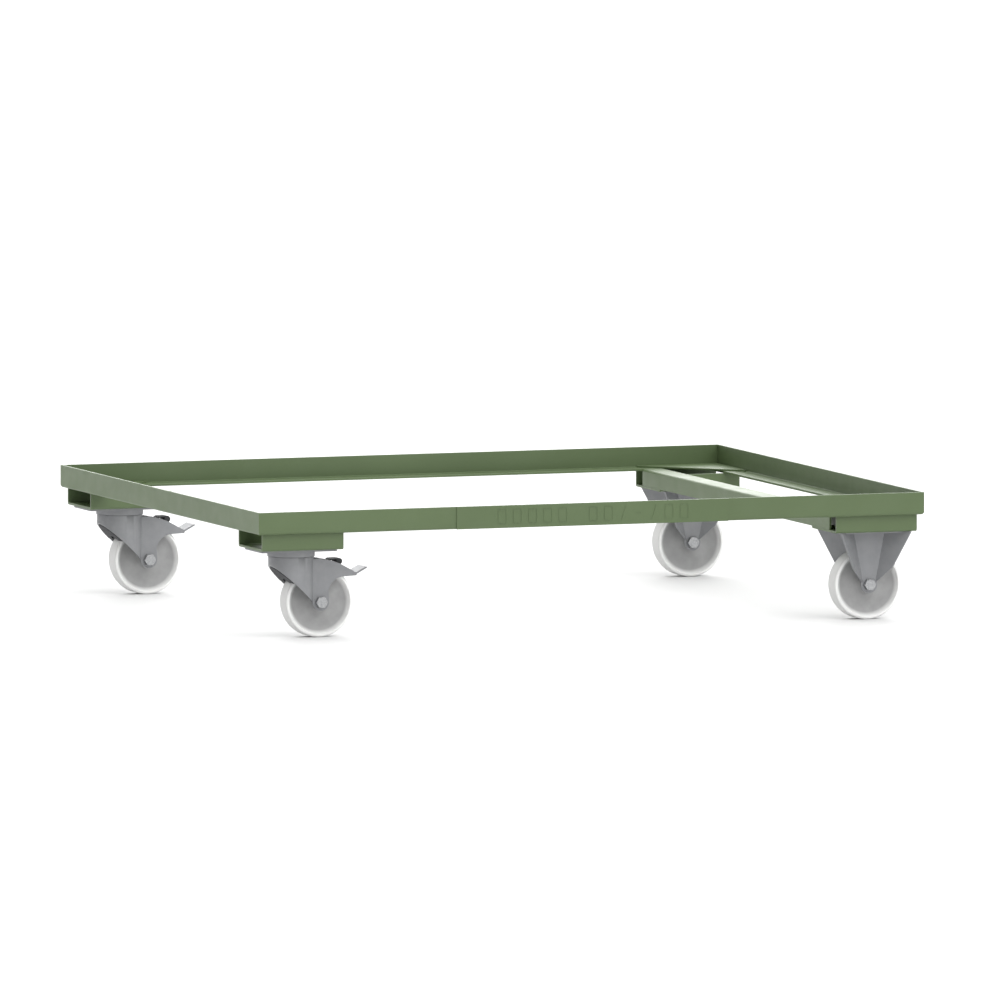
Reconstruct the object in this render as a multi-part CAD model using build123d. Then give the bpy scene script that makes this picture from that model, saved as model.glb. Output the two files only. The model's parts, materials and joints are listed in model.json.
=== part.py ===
"""Low steel trolley: an open angle-iron frame on two braked swivel castors and two fixed castors.

Millimetres. X runs along the length, Y across the width and Z up. The origin is on the floor,
under the middle of the frame. The swivel castors are at the left end (-X), the fixed ones at +X.
"""
from build123d import *
from math import cos, radians, sin, sqrt
import os

# ---- Driving dimensions ----------------------------------------------------------------------

# Angle-iron frame, open in the middle, with its upright legs outside
FRAME_LENGTH = 1250.0
FRAME_WIDTH = 1050.0
RAIL_HEIGHT = 40.0
RAIL_FLANGE = 40.0
SHEET = 4.0
BEND_OUTER = 5.0
BEND_INNER = 1.0
MITRE_REACH = 10.0

# Channel under each corner, open at both ends, which carries a castor
CHANNEL_LENGTH = 152.0
CHANNEL_WIDTH = 125.0
CHANNEL_HEIGHT = 30.0
CHANNEL_INSET = 10.0

# Cross beam, a folded channel with its back up, which ends short of the rail flanges
BEAM_WIDTH = 40.0
BEAM_SHEET = 3.5
BEAM_BEND = 4.0
BEAM_END_GAP = 5.0

# Corner gussets, welded on top of the rail flanges
GUSSET_LEG = 160.0
GUSSET_THICKNESS = 3.0
GUSSET_GAP = 1.5

# Marking strip on the front rail, with blank stamped fields
STRIP_LENGTH = 510.0
STRIP_THICKNESS = 1.5
STAMP_DEPTH = 0.5
STAMP_HEIGHT = 27.0
STAMP_WIDTH = 17.0
STAMP_LINE = 2.2
STAMP_PITCH = 28.5
STAMP_CORNER = 3.5
STAMP_SLANT = 18.0

# Castors: wheel, axle and height are common to all four
CASTOR_HEIGHT = 158.0
WHEEL_DIAMETER = 125.0
WHEEL_WIDTH = 38.0
HUB_WIDTH = 42.0
HUB_RADIUS = 15.0
WEB_WIDTH = 16.0
WEB_FLARE = 1.5
RIM_WALL = 6.0
DISH_RUN = 19.0
DISH_MIDDLE = (7.0, 11.0)
TREAD_EDGE = 4.5
LEG_SHEET = 3.0
LEG_INNER = 21.5
AXLE_TUBE_RADIUS = 10.0
RUNNING_GAP = 0.05
AXLE_RADIUS = 6.0
HOLE_SLACK = 0.1
BOLT_ACROSS_FLATS = 19.0
BOLT_HEAD_HEIGHT = 8.0
BOLT_CHAMFER = 1.6
NUT_HEIGHT = 10.0
NUT_COLLAR = 3.0
WASHER_RADIUS = 12.0
WASHER_THICKNESS = 2.0
THREAD_END = 3.0
EYE_RADIUS = 15.4

# Fixed castor's bracket: its top web, and the flat flare beside each leg. The flare is folded along
# a line, its top corner lies far out, and its outer edge has one more corner below. That corner
# is set by shares of the top edge and of the fold line, so it stays in the flare's plane
BRACKET_WEB_LENGTH = 124.0
BRACKET_WEB_WIDTH = 98.0
FLARE_FOLD_TOP = 30.0
FLARE_FOLD_END_Z = 66.0
FLARE_TOP = (66.5, 61.0)
FLARE_CORNER = (0.53, 0.29)

# Swivel castor
PLATE_LENGTH = 142.0
PLATE_WIDTH = 93.0
PLATE_THICKNESS = 4.0
PLATE_CORNER = 5.0
TRAIL = 47.0
CROWN_RADIUS = 40.5
CROWN_TOP = 143.7
CROWN_THICKNESS = 3.5
CROWN_EDGE = 0.8
SKIRT_FRONT_Z = 129.0
# Outline of a cheek above and behind the axle, in X from the kingpin and Z from the floor,
# then its corners that are rounded
TAIL_TOP = [(47, 139.5), (71, 134.5), (83.4, 129.5), (115.6, 112.0)]
TAIL_UNDER = [(113.4, 107.9), (86, 106.6), (76, 104), (66, 95), (61, 84)]
TAIL_ROUNDED = [(47, 139.5), (71, 134.5), (83.4, 129.5), (76, 104), (66, 95), (61, 84)]
TAIL_ROUND = 6.0
TAIL_TIP_ROUND = 2.0
HOUSING_BORE = 15.0
HOUSING_BACK = 26.0
HOUSING_DROP = 1.5
HOUSING_SLACK = 0.3
TREAD_CLEARANCE = 2.5
RACE_RADIUS = 42.0
RACE_WALL = 3.4
RACE_BOTTOM = 144.1
BALL_RADIUS = 4.0
BALL_CIRCLE = 33.0
BALL_COUNT = 20
BALL_SLACK = 0.02
GROOVE_SLACK = 0.3
RACE_BORE = 27.0
RACE_WEB = 3.5
KINGPIN_RADIUS = 6.0
KINGPIN_END = 123.0
PIN_HEAD_RADIUS = 10.0
PIN_HEAD_HEIGHT = 2.5

# Rocker brake between the two tail cheeks of the swivel fork
ROCKER_SHEET = 3.0
ROCKER_WIDTH = 41.0
PIVOT_X = 93.4
PIVOT_Z = 117.8
PIVOT_RADIUS = 3.0
BARREL_RADIUS = 4.5
BARREL_LENGTH = 41.0
ROCKER_PATH = [(50, 134), (72, 131), (84, 126.3), (113, 110.4), (133.6, 121.4)]
SHOE_BLOCK = [(50, 132.4), (69, 129.8), (69, 122), (50, 122)]
SHOE_RADIUS = 68.3
SHOE_WIDTH = 30.0
TAB_WIDTH = 24.0
TAB_SHEET = 2.4
TAB_PATH = [(55, 136.2), (68, 134.4), (72, 136.9), (84.5, 137.6)]
# The rocker's upper face, which the tab lies on
TAB_SEAT = [(40, 100), (40, 136.88), (72.0, 132.51), (84.4, 127.7), (113, 112), (113, 100)]
TAB_NOSE = (86.0, 132.9)
TAB_NOSE_RADIUS = 5.6
SPRING_SHEET = 1.0
SPRING_WIDTH = 16.0

# ---- Sizes that follow from them -------------------------------------------------------------

WHEEL_RADIUS = WHEEL_DIAMETER / 2
LEG_OUTER = LEG_INNER + LEG_SHEET
CHANNEL_BOTTOM = CASTOR_HEIGHT
RAIL_BOTTOM = CHANNEL_BOTTOM + CHANNEL_HEIGHT
FLANGE_TOP = RAIL_BOTTOM + SHEET
PLATE_BOTTOM = CASTOR_HEIGHT - PLATE_THICKNESS
# The strip stands proud of the front rail, so the frame sits half of that towards the back
FRAME_Y = STRIP_THICKNESS / 2
CASTOR_X = FRAME_LENGTH / 2 - CHANNEL_INSET - CHANNEL_LENGTH / 2
CASTOR_Y = FRAME_WIDTH / 2 - CHANNEL_INSET - CHANNEL_WIDTH / 2
# Half width that reaches past every leg, for bores and cutting blocks, and a span past a whole castor
LEG_CLEAR = 60.0
BIG = 400.0

CORNERS = {
    "front_left": (-1, -1),
    "back_left": (-1, 1),
    "front_right": (1, -1),
    "back_right": (1, 1),
}


# ---- Helpers ---------------------------------------------------------------------------------

def save(shape, node):
    """Write one node. Its file name is its name."""
    export_step(shape, f"parts/{node}.step")


def side_profile(points, y_from, y_to):
    """Prism of a closed outline drawn in the XZ plane, from one Y to another."""
    outline = make_face(Polyline(*[(x, 0, z) for x, z in points], close=True))
    prism = extrude(outline, amount=y_to - y_from, dir=(0, 1, 0))
    return Pos(0, y_from, 0) * prism


def along_y(radius, x, z, y_from, y_to):
    """Round bar or bore that lies along Y."""
    bar = Cylinder(radius, y_to - y_from, rotation=(90, 0, 0))
    return Pos(x, (y_from + y_to) / 2, z) * bar


def hex_along_y(across_flats, x, z, y_from, y_to):
    """Hexagon bar along Y, with flats at its top and bottom."""
    hexagon = Plane.XZ * RegularPolygon(across_flats / 2, 6, major_radius=False, rotation=0)
    prism = extrude(hexagon, amount=y_to - y_from, dir=(0, 1, 0))
    return Pos(x, y_from, z) * prism


def ring(outer, inner, z_from, z_to):
    """Flat ring about the Z axis."""
    height = z_to - z_from
    body = Cylinder(outer, height) - Cylinder(inner, height + 2)
    return Pos(0, 0, (z_from + z_to) / 2) * body


def drill(radius, z_from, z_to):
    """Upright bore about the Z axis."""
    return Pos(0, 0, (z_from + z_to) / 2) * Cylinder(radius, z_to - z_from)


def folded_edge(profile, corner, radius):
    """Round one corner of a sketch, given near its point."""
    nearest = profile.vertices().sort_by_distance((corner[0], corner[1], 0))[0]
    return fillet(nearest, radius)


def panel(points, thickness):
    """Flat sheet whose middle surface is the polygon through points."""
    face = make_face(Polyline(*points, close=True))
    return extrude(face, amount=thickness / 2, both=True)


def bend(start, end, radius):
    """Round bar from start to end: the outside of a sharp fold in a sheet."""
    axis = end - start
    spot = Plane(origin=start, z_dir=axis.normalized())
    return extrude(spot * Circle(radius), amount=axis.length)


def strip_along(points, thickness, width):
    """Bent strip across Y: flat stretches between the points, with a round bend at each one."""
    half = width / 2
    strip = None
    for (x0, z0), (x1, z1) in zip(points, points[1:]):
        flat = panel([(x0, -half, z0), (x1, -half, z1), (x1, half, z1), (x0, half, z0)], thickness)
        strip = flat if strip is None else strip + flat
    for x, z in points[1:]:
        strip += along_y(thickness / 2, x, z, -half, half)
    return strip


# ---- Frame -----------------------------------------------------------------------------------

def rail_section():
    """Angle section, drawn with the outer face on x = 0 and the flange towards +x."""
    outline = Polyline(
        (0, 0), (RAIL_FLANGE, 0), (RAIL_FLANGE, SHEET), (SHEET, SHEET), (SHEET, RAIL_HEIGHT), (0, RAIL_HEIGHT),
        close=True,
    )
    section = folded_edge(make_face(outline), (0, 0), BEND_OUTER)
    return folded_edge(section, (SHEET, SHEET), BEND_INNER)


def rail(length):
    """Angle rail along X, outer face on y = 0 and flange towards +Y, with both ends mitred."""
    plane = Plane(origin=(-length / 2, 0, RAIL_BOTTOM), x_dir=(0, 1, 0), z_dir=(1, 0, 0))
    bar = extrude(plane * rail_section(), amount=length)
    half = length / 2
    reach = RAIL_FLANGE + MITRE_REACH
    for side in (-1, 1):
        past_end = side * (half + MITRE_REACH)
        corner = Polyline(
            (side * half, 0), (past_end, 0), (past_end, reach), (side * (half - reach), reach),
            close=True,
        )
        waste = extrude(make_face(corner), amount=RAIL_HEIGHT + 2 * MITRE_REACH)
        bar -= Pos(0, 0, RAIL_BOTTOM - MITRE_REACH) * waste
    return bar


def long_rail(side):
    """Rail along X on the front (-1) or the back (+1)."""
    bar = Pos(0, -FRAME_WIDTH / 2, 0) * rail(FRAME_LENGTH)
    turn = 0 if side < 0 else 180
    return Pos(0, FRAME_Y, 0) * Rot(0, 0, turn) * bar


def end_rail(side):
    """Rail along Y at the left (-1) or the right (+1) end."""
    bar = Pos(0, -FRAME_LENGTH / 2, 0) * rail(FRAME_WIDTH)
    turn = -90 if side < 0 else 90
    return Pos(0, FRAME_Y, 0) * Rot(0, 0, turn) * bar


def corner_channel(side_x, side_y):
    """Folded channel with its legs up against the rail flanges."""
    half = CHANNEL_WIDTH / 2
    outline = Polyline(
        (-half, 0), (half, 0), (half, CHANNEL_HEIGHT), (half - SHEET, CHANNEL_HEIGHT), (half - SHEET, SHEET),
        (SHEET - half, SHEET), (SHEET - half, CHANNEL_HEIGHT), (-half, CHANNEL_HEIGHT),
        close=True,
    )
    section = make_face(outline)
    for side in (-1, 1):
        section = folded_edge(section, (side * half, 0), BEND_OUTER)
        section = folded_edge(section, (side * (half - SHEET), SHEET), BEND_INNER)
    plane = Plane(origin=(-CHANNEL_LENGTH / 2, 0, CHANNEL_BOTTOM), x_dir=(0, 1, 0), z_dir=(1, 0, 0))
    channel = extrude(plane * section, amount=CHANNEL_LENGTH)
    if side_x > 0:
        # The inner leg stops short, where the cross beam passes
        notch_z = CHANNEL_BOTTOM + SHEET + CHANNEL_HEIGHT / 2
        notch_x = BEAM_WIDTH / 2 - CHANNEL_LENGTH / 2
        channel -= Pos(notch_x, -side_y * half, notch_z) * Box(BEAM_WIDTH + 1, 20, CHANNEL_HEIGHT)
    return Pos(side_x * CASTOR_X, side_y * CASTOR_Y + FRAME_Y, 0) * channel


def crossbeam():
    """Folded channel across the frame, lying in the right-hand corner channels at their inner ends."""
    bottom = CHANNEL_BOTTOM + SHEET
    height = FLANGE_TOP - bottom
    outline = Polyline(
        (0, 0), (BEAM_SHEET, 0), (BEAM_SHEET, height - BEAM_SHEET), (BEAM_WIDTH - BEAM_SHEET, height - BEAM_SHEET),
        (BEAM_WIDTH - BEAM_SHEET, 0), (BEAM_WIDTH, 0), (BEAM_WIDTH, height), (0, height),
        close=True,
    )
    section = make_face(outline)
    for corner_x in (0, BEAM_WIDTH):
        section = folded_edge(section, (corner_x, height), BEAM_BEND)
    for corner_x in (BEAM_SHEET, BEAM_WIDTH - BEAM_SHEET):
        section = folded_edge(section, (corner_x, height - BEAM_SHEET), BEND_INNER)
    span = FRAME_WIDTH - 2 * (RAIL_FLANGE + BEAM_END_GAP)
    left_face = CASTOR_X - CHANNEL_LENGTH / 2
    plane = Plane(origin=(left_face, span / 2 + FRAME_Y, bottom), x_dir=(1, 0, 0), z_dir=(0, -1, 0))
    return extrude(plane * section, amount=span)


def gusset(side_x, side_y):
    """Triangular plate that ties two rails, lying on their flanges."""
    corner_x = FRAME_LENGTH / 2 - SHEET - GUSSET_GAP
    corner_y = FRAME_WIDTH / 2 - SHEET - GUSSET_GAP
    leg = GUSSET_LEG - GUSSET_GAP
    outline = Polyline(
        (side_x * corner_x, side_y * corner_y),
        (side_x * (corner_x - leg), side_y * corner_y),
        (side_x * corner_x, side_y * (corner_y - leg)),
        close=True,
    )
    plate = extrude(make_face(outline), amount=GUSSET_THICKNESS, dir=(0, 0, 1))
    return Pos(0, FRAME_Y, FLANGE_TOP) * plate


def stamp(kind):
    """One stamped mark: a blank field, a slanting bar or a short dash."""
    if kind == "field":
        inner_width = STAMP_WIDTH - 2 * STAMP_LINE
        inner_height = STAMP_HEIGHT - 2 * STAMP_LINE
        inner = RectangleRounded(inner_width, inner_height, STAMP_CORNER - STAMP_LINE / 2)
        return RectangleRounded(STAMP_WIDTH, STAMP_HEIGHT, STAMP_CORNER) - inner
    if kind == "bar":
        return Rot(0, 0, -STAMP_SLANT) * Rectangle(STAMP_LINE, STAMP_HEIGHT)
    return Rectangle(STAMP_WIDTH / 2, STAMP_LINE)


def marking_strip():
    """Thin strip over the middle of the front rail, with a row of blank stamped fields."""
    front = -FRAME_WIDTH / 2 - STRIP_THICKNESS + FRAME_Y
    middle_z = RAIL_BOTTOM + RAIL_HEIGHT / 2
    strip = Pos(0, front + STRIP_THICKNESS / 2, middle_z) * Box(STRIP_LENGTH, STRIP_THICKNESS, RAIL_HEIGHT)
    row = ["field"] * 5 + ["gap"] + ["field"] * 2 + ["bar", "dash", "bar"] + ["field"] * 2
    face = Plane(origin=(0, front, middle_z), x_dir=(1, 0, 0), z_dir=(0, -1, 0))
    for place, kind in enumerate(row):
        if kind != "gap":
            offset = (place - (len(row) - 1) / 2) * STAMP_PITCH
            strip -= extrude(face * Pos(offset, 0, 0) * stamp(kind), amount=-STAMP_DEPTH)
    return strip


# ---- Parts common to every castor: the wheel's axle is on x = 0, y = 0, z = WHEEL_RADIUS ----------

def wheel():
    """Solid nylon wheel: crowned tread edges, a dished web and a plain hub bore."""
    half = WHEEL_WIDTH / 2
    hub_half = HUB_WIDTH / 2
    web_half = WEB_WIDTH / 2
    bore = AXLE_TUBE_RADIUS + RUNNING_GAP
    rim_inside = WHEEL_RADIUS - RIM_WALL
    dish_end = rim_inside - DISH_RUN
    shoulder_rest = TREAD_EDGE * (1 - sqrt(0.5))

    def side(sign):
        """Half outline from the tread's middle to the bore, on one side of the wheel."""
        tread = Line((WHEEL_RADIUS, 0), (WHEEL_RADIUS, sign * (half - TREAD_EDGE)))
        shoulder = ThreePointArc(
            (WHEEL_RADIUS, sign * (half - TREAD_EDGE)),
            (WHEEL_RADIUS - shoulder_rest, sign * (half - shoulder_rest)),
            (WHEEL_RADIUS - TREAD_EDGE, sign * half),
        )
        lip = Line((WHEEL_RADIUS - TREAD_EDGE, sign * half), (rim_inside, sign * half))
        dish = ThreePointArc(
            (rim_inside, sign * half),
            (rim_inside - DISH_MIDDLE[0], sign * DISH_MIDDLE[1]),
            (dish_end, sign * web_half),
        )
        flank = ThreePointArc(
            (dish_end, sign * web_half),
            (HUB_RADIUS + web_half, sign * (web_half + WEB_FLARE)),
            (HUB_RADIUS, sign * hub_half),
        )
        face = Line((HUB_RADIUS, sign * hub_half), (bore, sign * hub_half))
        wall = Line((bore, sign * hub_half), (bore, 0))
        return [tread, shoulder, lip, dish, flank, face, wall]

    section = make_face(side(1) + side(-1))
    return Pos(0, 0, WHEEL_RADIUS) * revolve(section, Axis.Y)


def axle_tube():
    """Spacer tube that the wheel runs on, clamped between the two legs."""
    tube = along_y(AXLE_TUBE_RADIUS, 0, WHEEL_RADIUS, -LEG_INNER, LEG_INNER)
    return tube - along_y(AXLE_RADIUS + HOLE_SLACK, 0, WHEEL_RADIUS, -LEG_INNER - 1, LEG_INNER + 1)


def axle_bolt():
    """Hexagon bolt through both legs and the tube, with a chamfered head towards the front."""
    head_from = -LEG_OUTER - BOLT_HEAD_HEIGHT
    head = hex_along_y(BOLT_ACROSS_FLATS, 0, WHEEL_RADIUS, head_from, -LEG_OUTER)
    corner_radius = BOLT_ACROSS_FLATS / 2 / cos(radians(30))
    flare = 6.0
    cone = Cone(corner_radius - BOLT_CHAMFER, corner_radius + flare, BOLT_CHAMFER + flare, rotation=(-90, 0, 0))
    head &= Pos(0, head_from + (BOLT_CHAMFER + flare) / 2, WHEEL_RADIUS) * cone
    shank_to = LEG_OUTER + WASHER_THICKNESS + NUT_HEIGHT + THREAD_END
    return head + along_y(AXLE_RADIUS, 0, WHEEL_RADIUS, -LEG_OUTER - 1, shank_to)


def axle_nut():
    """Washer and self-locking nut on the bolt's far end, as two separate solids."""
    bore = AXLE_RADIUS + HOLE_SLACK
    nut_from = LEG_OUTER + WASHER_THICKNESS
    nut_to = nut_from + NUT_HEIGHT
    washer = along_y(WASHER_RADIUS, 0, WHEEL_RADIUS, LEG_OUTER, nut_from)
    washer -= along_y(bore, 0, WHEEL_RADIUS, LEG_OUTER - 1, nut_from + 1)
    hexagon = hex_along_y(BOLT_ACROSS_FLATS, 0, WHEEL_RADIUS, nut_from, nut_to - NUT_COLLAR)
    collar = along_y(BOLT_ACROSS_FLATS / 2 - 0.6, 0, WHEEL_RADIUS, nut_to - NUT_COLLAR - 0.5, nut_to)
    nut = hexagon + collar - along_y(bore, 0, WHEEL_RADIUS, nut_from - 1, nut_to + 1)
    return Compound(children=[washer, nut])


# ---- Fixed castor: its middle is over the axle ------------------------------------------------------

def bracket_wing(side_x, side_y):
    """One of a leg's two flares: a flat sheet folded outwards from the leg's edge, up to the channel."""
    top = CASTOR_HEIGHT
    middle = side_y * (LEG_INNER + LEG_SHEET / 2)
    fold_top = Vector(side_x * FLARE_FOLD_TOP, middle, top)
    fold_end = Vector(side_x * (EYE_RADIUS - LEG_SHEET), middle, FLARE_FOLD_END_Z)
    edge_top = Vector(side_x * FLARE_TOP[0], side_y * FLARE_TOP[1], top)
    edge_corner = fold_end + (edge_top - fold_top) * FLARE_CORNER[0] + (fold_top - fold_end) * FLARE_CORNER[1]
    return panel([fold_top, edge_top, edge_corner, fold_end], LEG_SHEET) + bend(fold_end, fold_top, LEG_SHEET / 2)


def bracket():
    """One-piece bracket: a top web, two upright legs with an eye each, and four flared wings."""
    top = CASTOR_HEIGHT - LEG_SHEET
    body = Pos(0, 0, CASTOR_HEIGHT - LEG_SHEET / 2) * Box(BRACKET_WEB_LENGTH, BRACKET_WEB_WIDTH, LEG_SHEET)
    end = EYE_RADIUS - LEG_SHEET
    for side_y in (-1, 1):
        y_from = min(side_y * LEG_INNER, side_y * LEG_OUTER)
        y_to = y_from + LEG_SHEET
        shoulders = [(-FLARE_FOLD_TOP, top + 1), (FLARE_FOLD_TOP, top + 1)]
        leg = side_profile(shoulders + [(end, FLARE_FOLD_END_Z), (-end, FLARE_FOLD_END_Z)], y_from, y_to)
        leg += along_y(EYE_RADIUS, 0, WHEEL_RADIUS, y_from, y_to)
        for side_x in (-1, 1):
            leg += bracket_wing(side_x, side_y)
        body += leg
    body &= Pos(0, 0, CASTOR_HEIGHT / 2) * Box(BIG, BIG, CASTOR_HEIGHT)
    hole = along_y(AXLE_RADIUS + HOLE_SLACK, 0, WHEEL_RADIUS, -LEG_OUTER - 1, LEG_OUTER + 1)
    return body - hole


# ---- Swivel castor: the kingpin is on x = 0, y = 0 and the axle trails by TRAIL towards +X ----------

def top_plate():
    """Flat plate with a countersink for the kingpin's head."""
    sketch = RectangleRounded(PLATE_LENGTH, PLATE_WIDTH, PLATE_CORNER)
    plate = Pos(0, 0, PLATE_BOTTOM) * extrude(sketch, amount=PLATE_THICKNESS)
    plate -= drill(KINGPIN_RADIUS + HOLE_SLACK, PLATE_BOTTOM - 1, CASTOR_HEIGHT + 1)
    return plate - drill(PIN_HEAD_RADIUS + HOLE_SLACK, CASTOR_HEIGHT - PIN_HEAD_HEIGHT, CASTOR_HEIGHT + 1)


def upper_race():
    """Pressed ring under the plate: its skirt covers the balls and its groove runs on them."""
    body = ring(RACE_RADIUS, RACE_BORE, PLATE_BOTTOM - RACE_WEB, PLATE_BOTTOM)
    body += ring(RACE_RADIUS, RACE_RADIUS - RACE_WALL, RACE_BOTTOM, PLATE_BOTTOM - 1)
    return body - Pos(0, 0, CROWN_TOP + BALL_RADIUS) * Torus(BALL_CIRCLE, BALL_RADIUS + GROOVE_SLACK)


def swivel_balls():
    """Ring of bearing balls between the crown and the upper race."""
    balls = []
    for place in range(BALL_COUNT):
        angle = radians(360 * place / BALL_COUNT)
        spot = Pos(BALL_CIRCLE * cos(angle), BALL_CIRCLE * sin(angle), CROWN_TOP + BALL_RADIUS + BALL_SLACK)
        balls.append(spot * Sphere(BALL_RADIUS))
    return Compound(children=balls)


def kingpin():
    """Pin that holds the crown to the plate, with a flat head let into the plate."""
    shank = drill(KINGPIN_RADIUS, KINGPIN_END, CASTOR_HEIGHT - 1)
    return shank + drill(PIN_HEAD_RADIUS, CASTOR_HEIGHT - PIN_HEAD_HEIGHT, CASTOR_HEIGHT)


def kingpin_nut():
    """Washer and nut under the crown, as two separate solids."""
    top = CROWN_TOP - CROWN_THICKNESS - 0.3
    bore = KINGPIN_RADIUS + HOLE_SLACK
    washer = ring(WASHER_RADIUS, bore, top - WASHER_THICKNESS, top)
    hexagon = extrude(RegularPolygon(BOLT_ACROSS_FLATS / 2, 6, major_radius=False), amount=NUT_HEIGHT)
    nut_bottom = top - WASHER_THICKNESS - NUT_HEIGHT
    nut = Pos(0, 0, nut_bottom) * hexagon - drill(bore, nut_bottom - 1, top)
    return Compound(children=[washer, nut])


def skirt_slope(x):
    """Height of the sloping lower edge of the skirt, which drops from the front to the axle eye."""
    eye_front = TRAIL - EYE_RADIUS
    fall = (SKIRT_FRONT_Z - WHEEL_RADIUS) / (eye_front + CROWN_RADIUS)
    return SKIRT_FRONT_Z - fall * (x + CROWN_RADIUS)


def above_slope(x_to, lift=0.0):
    """Block of space above the skirt's sloping edge, as far back as x_to."""
    x_from = -CROWN_RADIUS - 5
    outline = [(x_from, skirt_slope(x_from) + lift), (x_to, skirt_slope(x_to) + lift), (x_to, 200), (x_from, 200)]
    return side_profile(outline, -LEG_CLEAR, LEG_CLEAR)


def fork_cheek(side_y):
    """Flat side of the fork: the leg down to the axle eye, and the tail that guards the brake."""
    crease = TRAIL - EYE_RADIUS
    outline = Polyline(
        (crease - LEG_SHEET, CROWN_TOP - 1), (crease, TAIL_TOP[0][1]), *TAIL_TOP, *TAIL_UNDER,
        (TRAIL + EYE_RADIUS, WHEEL_RADIUS), (crease, WHEEL_RADIUS), (crease - LEG_SHEET, WHEEL_RADIUS + 6),
        close=True,
    )
    face = Plane.XZ * make_face(outline)
    for x, z in TAIL_ROUNDED:
        face = fillet(face.vertices().sort_by_distance((x, 0, z))[0], TAIL_ROUND)
    tip_x, tip_z = TAIL_UNDER[0]
    face = fillet(face.vertices().sort_by_distance((tip_x, 0, tip_z))[0], TAIL_TIP_ROUND)
    y_from = min(side_y * LEG_INNER, side_y * LEG_OUTER)
    cheek = Pos(0, y_from, 0) * extrude(face, amount=LEG_SHEET, dir=(0, 1, 0))
    return cheek + along_y(EYE_RADIUS, TRAIL, WHEEL_RADIUS, y_from, y_from + LEG_SHEET)


def fork():
    """Pressed fork: a round crown, a sloping half-round skirt in front and two cheeks behind."""
    crown = ring(CROWN_RADIUS, KINGPIN_RADIUS + RUNNING_GAP, CROWN_TOP - CROWN_THICKNESS, CROWN_TOP)
    upper_circles = crown.edges().filter_by(GeomType.CIRCLE).group_by(Axis.Z)[-1]
    crown = fillet(upper_circles.sort_by(SortBy.LENGTH)[-1], CROWN_EDGE)
    skirt = ring(CROWN_RADIUS, CROWN_RADIUS - LEG_SHEET, 40, CROWN_TOP - 2)
    skirt &= above_slope(TRAIL - EYE_RADIUS + 0.6)
    body = crown + skirt
    for side_y in (-1, 1):
        body += fork_cheek(side_y)
    wheel_slot = side_profile([(24, 30), (60, 30), (60, 130), (24, 130)], -LEG_INNER, LEG_INNER)
    body -= wheel_slot + along_y(AXLE_RADIUS + HOLE_SLACK, TRAIL, WHEEL_RADIUS, -LEG_CLEAR, LEG_CLEAR)
    return body - along_y(PIVOT_RADIUS + RUNNING_GAP, PIVOT_X, PIVOT_Z, -LEG_CLEAR, LEG_CLEAR)


def lock_housing():
    """Moulded body inside the crown, in front of the wheel."""
    under_crown = CROWN_TOP - CROWN_THICKNESS
    body = ring(CROWN_RADIUS - LEG_SHEET - HOUSING_SLACK, HOUSING_BORE, WHEEL_RADIUS, under_crown)
    body &= above_slope(HOUSING_BACK, lift=-HOUSING_DROP)
    return body - along_y(WHEEL_RADIUS + TREAD_CLEARANCE, TRAIL, WHEEL_RADIUS, -LEG_CLEAR, LEG_CLEAR)


def brake_rocker():
    """Bent plate on the brake pin: it ends behind in a pedal and carries the shoe in front."""
    plate = strip_along(ROCKER_PATH, ROCKER_SHEET, ROCKER_WIDTH)
    barrel = along_y(BARREL_RADIUS, PIVOT_X, PIVOT_Z, -BARREL_LENGTH / 2, BARREL_LENGTH / 2)
    return plate + barrel - along_y(PIVOT_RADIUS + RUNNING_GAP, PIVOT_X, PIVOT_Z, -LEG_CLEAR, LEG_CLEAR)


def brake_shoe():
    """Block under the rocker's front, hollowed to the tread's curve."""
    block = side_profile(SHOE_BLOCK, -SHOE_WIDTH / 2, SHOE_WIDTH / 2)
    return block - along_y(SHOE_RADIUS, TRAIL, WHEEL_RADIUS, -LEG_CLEAR, LEG_CLEAR)


def lock_tab():
    """Black foot tab above the rocker: a thin strip that ends in a round nose."""
    strip = strip_along(TAB_PATH, TAB_SHEET, TAB_WIDTH)
    nose = along_y(TAB_NOSE_RADIUS, TAB_NOSE[0], TAB_NOSE[1], -TAB_WIDTH / 2, TAB_WIDTH / 2)
    return strip + nose - side_profile(TAB_SEAT, -TAB_WIDTH, TAB_WIDTH)


def brake_pin():
    """Rivet across the two cheeks, set flush with them."""
    return along_y(PIVOT_RADIUS, PIVOT_X, PIVOT_Z, -LEG_OUTER, LEG_OUTER)


def brake_spring():
    """Leaf spring under the crown that steadies the rocker from above."""
    under_crown = CROWN_TOP - CROWN_THICKNESS
    seat = under_crown - SPRING_SHEET / 2
    return strip_along([(27, seat), (42, seat), (50, 138.0)], SPRING_SHEET, SPRING_WIDTH)


# ---- Write every node -------------------------------------------------------------------------

def place_fixed(corner, sides):
    """Fixed castor under one corner."""
    side_x, side_y = sides
    spot = Pos(side_x * CASTOR_X, side_y * CASTOR_Y + FRAME_Y, 0)
    save(spot * bracket(), f"{corner}_bracket")
    save_wheel_set(corner, spot)


def place_swivel(corner, sides):
    """Swivel castor under one corner, with its wheel trailing towards +X."""
    side_x, side_y = sides
    spot = Pos(side_x * CASTOR_X, side_y * CASTOR_Y + FRAME_Y, 0)
    makers = (top_plate, upper_race, swivel_balls, kingpin, kingpin_nut, fork, lock_housing, brake_rocker,
              brake_shoe, lock_tab, brake_pin, brake_spring)
    for maker in makers:
        save(spot * maker(), f"{corner}_{maker.__name__}")
    save_wheel_set(corner, spot * Pos(TRAIL, 0, 0))


def save_wheel_set(corner, spot):
    """Wheel, tube, bolt and nut of one castor."""
    for maker in (wheel, axle_tube, axle_bolt, axle_nut):
        save(spot * maker(), f"{corner}_{maker.__name__}")


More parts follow.
